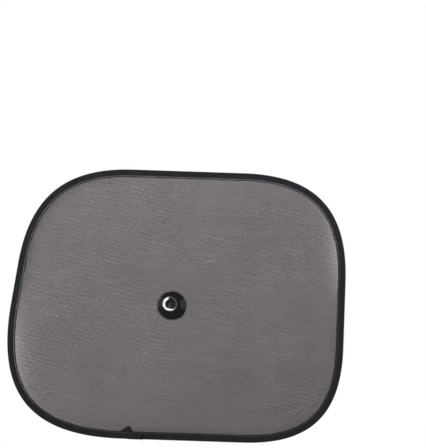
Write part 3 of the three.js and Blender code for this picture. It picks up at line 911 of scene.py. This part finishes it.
def cup_profile():
    """Radius and depth all along the cup's section, from the crown out round the lip and back to the head."""
    land = LIP_RADIUS - LIP_ROUND - LIP_LAND
    edge = land - FEATHER_WIDTH
    crown_edge = bowl_at(CROWN_RADIUS)
    crown = [(CROWN_RADIUS * t, CROWN_DEPTH - (CROWN_DEPTH - crown_edge) * t ** 3)
             for t in np.linspace(0, CROWN_END, CROWN_POINTS)]
    bowl = [(r, bowl_at(r)) for r in np.linspace(BOWL_START, edge, BOWL_POINTS)]
    skirt_root = bowl_at(SKIRT_RADIUS) + SKIRT_THICKNESS
    lip_back = LIP_THICKNESS + LIP_ROUND
    feather = [(edge + (land - edge) * t, FEATHER_DEPTH * (1 - t)) for t in (0.25, 0.5, 0.75, 0.93)]
    lip = [(land + LAND_EASE, 0.0), (land + LIP_LAND, 0.0)]
    lip += rounded((LIP_RADIUS - LIP_ROUND, LIP_ROUND), LIP_ROUND, -75, 0, 5)
    lip += rounded((LIP_RADIUS - LIP_ROUND, LIP_THICKNESS), LIP_ROUND, 0, 70, 5)
    back = [(LIP_RADIUS - LIP_LAND, lip_back)]
    back += [(LIP_RADIUS - LIP_LAND + (SKIRT_RADIUS - LIP_RADIUS + LIP_LAND) * t,
              lip_back + (skirt_root - lip_back) * t) for t in (0.25, 0.5, 0.75)]
    wide, low = FLARE_MIDDLE
    back += [(SKIRT_RADIUS, skirt_root), (HUB_RADIUS + wide * HUB_FLARE, skirt_root + low * HUB_FLARE_DEPTH),
             (HUB_RADIUS + HUB_FLARE, skirt_root + HUB_FLARE_DEPTH)]
    shoulder = rounded((HUB_RADIUS - HUB_ROUND, HUB_DEPTH - HUB_ROUND), HUB_ROUND, 0, 90, 8)
    neck = [(NECK_RADIUS + NECK_EASE, HUB_DEPTH), (NECK_RADIUS, HUB_DEPTH + NECK_EASE),
            (NECK_RADIUS, HEAD_FRONT)]
    under = [(HEAD_RADIUS - HEAD_ROUND, HEAD_FRONT)]
    under += rounded((HEAD_RADIUS - HEAD_ROUND, HEAD_FRONT + HEAD_ROUND), HEAD_ROUND, -60, 0, 3)
    head = [(HEAD_RADIUS * math.sqrt(max(0.0, 1 - t ** 2)),
             HEAD_FRONT + HEAD_EDGE + (HEAD_HEIGHT - HEAD_EDGE) * t) for t in np.linspace(0, 1, HEAD_POINTS)]
    return crown + bowl + feather + lip + back + shoulder + neck + under + head


def suction_cup():
    """The cup, its neck and its head, turned about the axis in one piece."""
    profile = cup_profile()
    vertices = [(0, profile[0][1], 0)]
    for r, y in profile[1:-1]:
        vertices += [(r * math.cos(a), y, r * math.sin(a))
                     for a in np.linspace(0, 2 * math.pi, CUP_SIDES, endpoint=False)]
    vertices.append((0, profile[-1][1], 0))
    n = CUP_SIDES
    last = len(vertices) - 1
    rings = len(profile) - 2
    faces = [(0, 1 + k, 1 + (k + 1) % n) for k in range(n)]
    for i in range(rings - 1):
        a, b = 1 + i * n, 1 + (i + 1) * n
        faces += [(a + k, b + k, b + (k + 1) % n, a + (k + 1) % n) for k in range(n)]
    a = 1 + (rings - 1) * n
    faces += [(a + k, last, a + (k + 1) % n) for k in range(n)]
    cup = mesh_object("cup_moulding", vertices, faces, CUP, CUP_SHARP)
    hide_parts("suction_cup")
    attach(cup, "root")
    return cup


def dress(name, material):
    """Gives a CAD node its finish, and shades it smooth apart from its sharp edges."""
    made = frame["nodes"][name]
    made.data.materials.clear()
    made.data.materials.append(material)
    made.data.shade_smooth()
    made.data.set_sharp_from_angle(angle=CAD_SHARP)


# Studio

def direction(right, up):
    """A unit vector out of the cup, turned so far to the right and up."""
    return Vector((math.sin(right) * math.cos(up), -math.cos(right) * math.cos(up), math.sin(up)))


def world():
    """White to the camera all round, pale behind the shade and dim behind the camera."""
    made = bpy.data.worlds.new("studio")
    bpy.context.scene.world = made
    made.use_nodes = True
    tree = made.node_tree
    tree.nodes.clear()
    out = tree.nodes.new("ShaderNodeOutputWorld")
    way = coordinate(tree, node(tree, "ShaderNodeTexCoord").outputs["Generated"], "Y")
    behind = ramp(tree, way, *BACK_FADE)
    path = node(tree, "ShaderNodeLightPath")
    back = ramp(tree, path.outputs["Is Glossy Ray"], 0.0, 1.0, BACK_LEVEL, 1.0)
    level = ramp(tree, behind, 0.0, 1.0, FRONT_FILL, back)
    strength = calc(tree, "MAXIMUM", in_view(tree), level)
    light = node(tree, "ShaderNodeBackground", {"Color": WHITE, "Strength": strength})
    tree.links.new(light.outputs[0], out.inputs["Surface"])


def floor():
    """Pale paper that keeps the shade's shadow and turns plain white further off."""
    material, tree, output = blank_material("floor_paper")
    at = object_place(tree)
    paper = node(tree, "ShaderNodeBsdfPrincipled", {
        "Base Color": colours(tree, noise(tree, at, 30.0), *PAPER_GREYS),
        "Roughness": 0.9, "Specular IOR Level": 0.2})
    centre = (0.0, -FLOOR_FADE_CENTRE, -FLOOR_LEVEL)
    off = node(tree, "ShaderNodeVectorMath", {0: at, 1: centre}, operation="ADD").outputs[0]
    fade = ramp(tree, magnitude(tree, off), *FLOOR_FADE, FLOOR_FADE_START, 1.0)
    share = product(tree, in_view(tree), fade)
    finish_material(tree, output, mixed(tree, share, paper, glow(tree, 1.0)))
    corners = [(-FLOOR_HALF, FLOOR_FRONT), (FLOOR_HALF, FLOOR_FRONT),
               (FLOOR_HALF, FLOOR_BACK), (-FLOOR_HALF, FLOOR_BACK)]
    made = mesh_object("floor", [(x, y, FLOOR_LEVEL) for x, y in corners], [(0, 1, 2, 3)], material)


def softbox_arc(name, inner, outer, arc, strength):
    """A strip of white cloth bent round the lens, which the cup's bowl mirrors."""
    material, tree, output = blank_material(name)
    finish_material(tree, output, glow(tree, strength))
    centre = direction(*RING_AIM) * RING_DISTANCE
    away = centre.normalized()
    right = Vector((0, 0, 1)).cross(away).normalized()
    right = right if right.x > 0 else -right
    up = (Vector((0, 0, 1)) - away * away.z).normalized()
    vertices = []
    for a in np.linspace(*arc, RING_STEPS + 1):
        for half in (inner, outer):
            reach = RING_DISTANCE * math.tan(half)
            vertices.append(centre + (right * math.cos(a) + up * math.sin(a)) * reach)
    faces = [(2 * k, 2 * k + 1, 2 * k + 3, 2 * k + 2) for k in range(RING_STEPS)]
    made = mesh_object(name, vertices, faces, material)
    made.visible_camera = False
    made.visible_shadow = False


def softbox(name, right, up, distance, size, power):
    """A soft lamp that faces the cup and is out of the camera's sight."""
    lamp = bpy.data.lights.new(name, "AREA")
    lamp.shape = "ELLIPSE"
    lamp.size, lamp.size_y = size
    lamp.energy = power
    made = bpy.data.objects.new(name, lamp)
    made.location = direction(math.radians(right), math.radians(up)) * distance
    made.rotation_euler = (-made.location).to_track_quat("-Z", "Y").to_euler()
    made.visible_camera = False
    bpy.context.scene.collection.objects.link(made)


def camera():
    """The camera, square to the glass, with the photo's place, width and roll."""
    made = bpy.data.objects.new("camera", bpy.data.cameras.new("camera"))
    made.data.sensor_width = SENSOR
    made.data.sensor_fit = "AUTO"
    made.data.lens = SENSOR * (CAMERA_DISTANCE + NET_MIDDLE) / FRAME_HEIGHT
    made.location = (CAMERA_AT[0], -CAMERA_DISTANCE, CAMERA_AT[1])
    c, s = math.cos(CAMERA_ROLL), math.sin(CAMERA_ROLL)
    made.rotation_mode = "QUATERNION"
    made.rotation_quaternion = Matrix(((c, -s, 0), (0, 0, -1), (s, c, 0))).to_quaternion()
    bpy.context.scene.collection.objects.link(made)
    bpy.context.scene.camera = made


binding_tape()
tape_corner()
net()
stitches("stitches_front", -1)
stitches("stitches_back", 1)
lap_stitches()
suction_cup()
dress("spring_hoop", WIRE)
dress("hoop_ferrule", FERRULE)
dress("eyelet_barrel", EYELET)
dress("eyelet_washer", EYELET)

world()
floor()
softbox_arc("ring_softbox", RING_INNER, RING_OUTER, RING_ARC, RING_STRENGTH)
softbox_arc("ring_rim", RING_OUTER - RIM_WIDTH, RING_OUTER, RIM_ARC, RIM_STRENGTH)
for name, settings in SOFTBOXES.items():
    softbox(name, *settings)
camera()
bpy.context.scene.view_settings.view_transform = "Standard"
